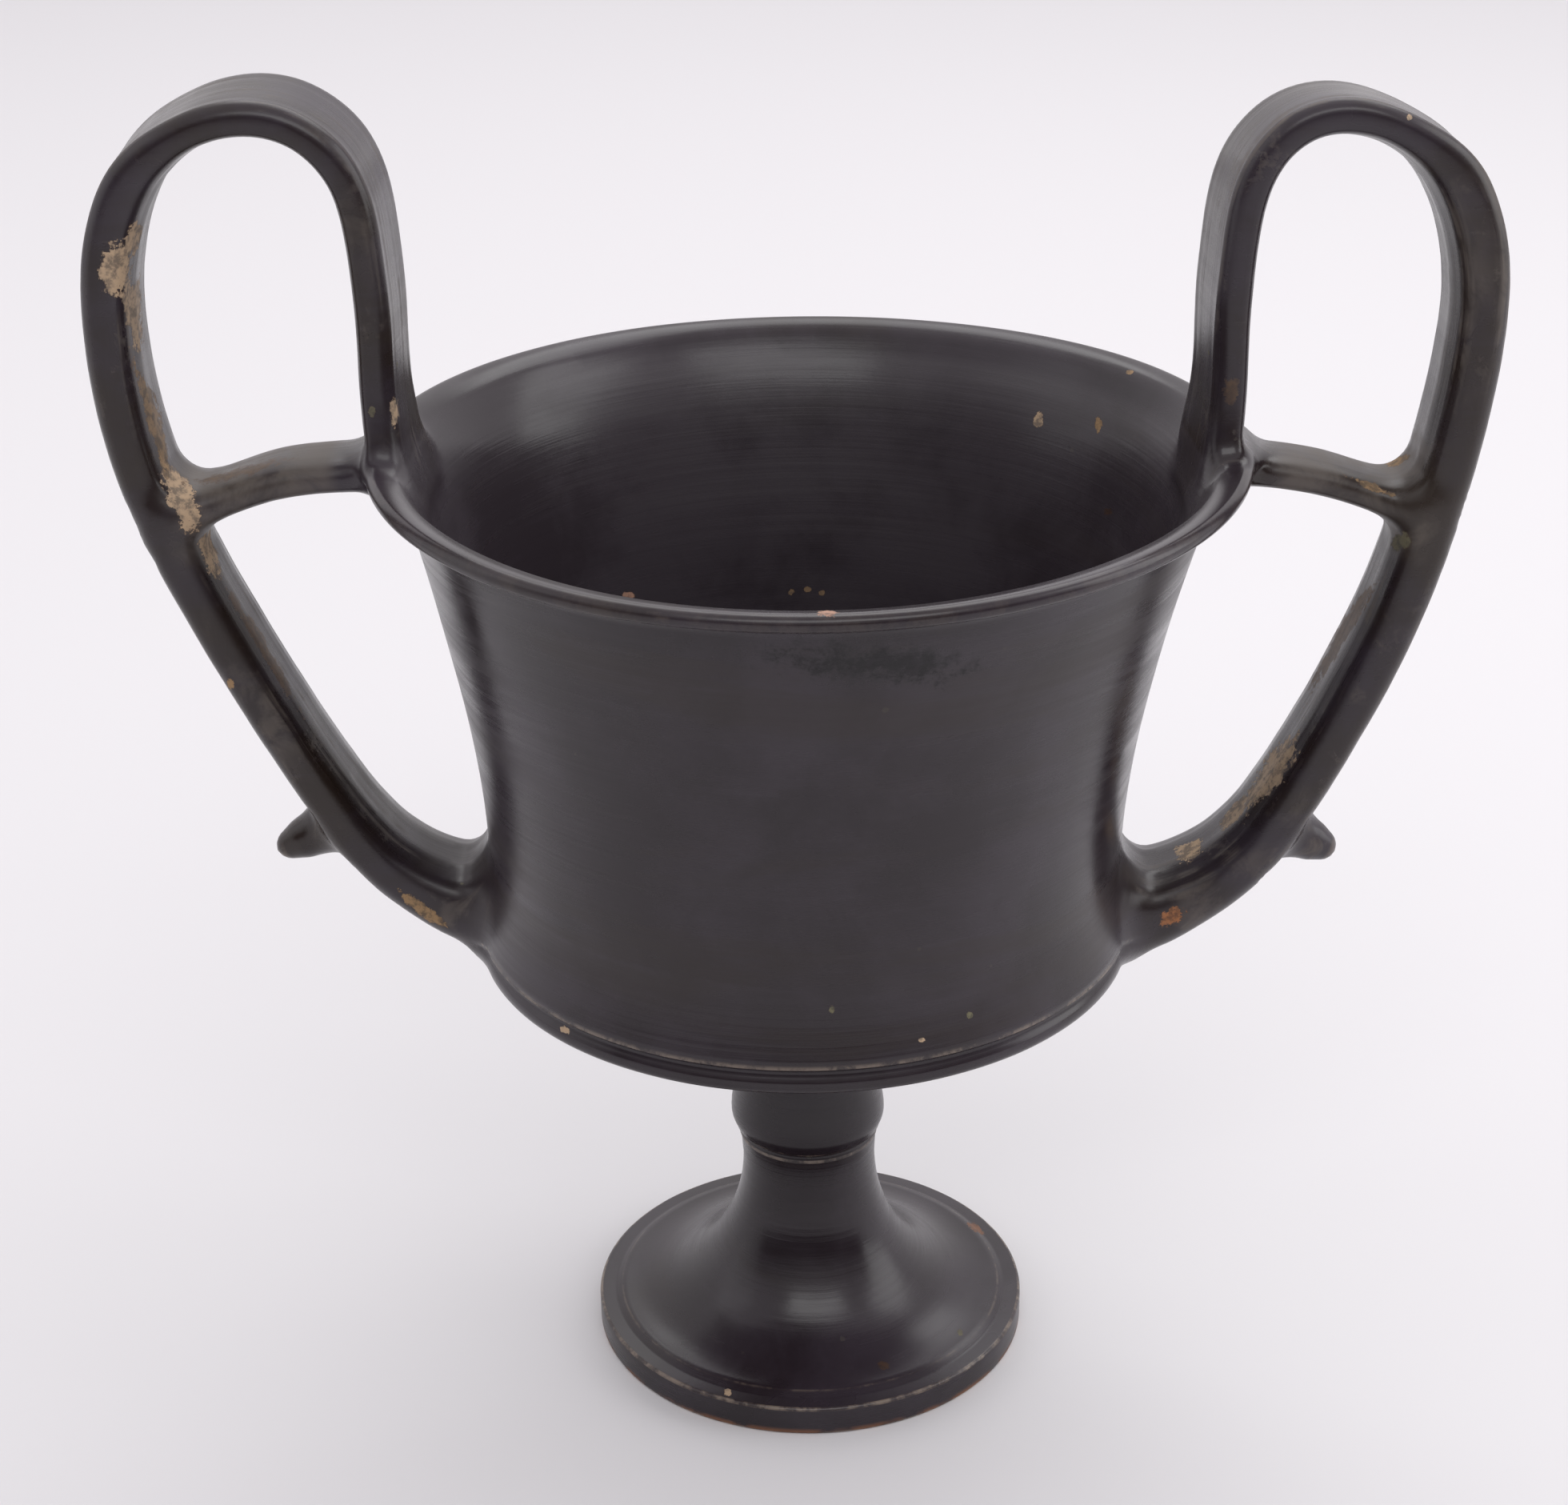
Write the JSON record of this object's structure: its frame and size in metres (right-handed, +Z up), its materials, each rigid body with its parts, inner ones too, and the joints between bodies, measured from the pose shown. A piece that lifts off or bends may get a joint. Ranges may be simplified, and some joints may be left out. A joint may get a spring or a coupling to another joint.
{
  "type": "kantharos",
  "caption": "Deep drinking cup with a flaring lip and keeled wall on a short stem and trumpet foot, with tall looped strap handles tied to the lip by struts.",
  "frame": {"origin": "on the cup's turning axis, at the level of the flat ring that it stands on", "axes": "+Z up along the cup's axis, the two handles along X, +Y away from the picture's viewer"},
  "size_m": [0.2543, 0.1632, 0.2578],
  "materials": {
    "black_slip_clay": "satin black slip over fired clay, worn to buff clay in small chips"
  },
  "bodies": {
    "root": {"kantharos": "black_slip_clay"}
  },
  "joints": []
}
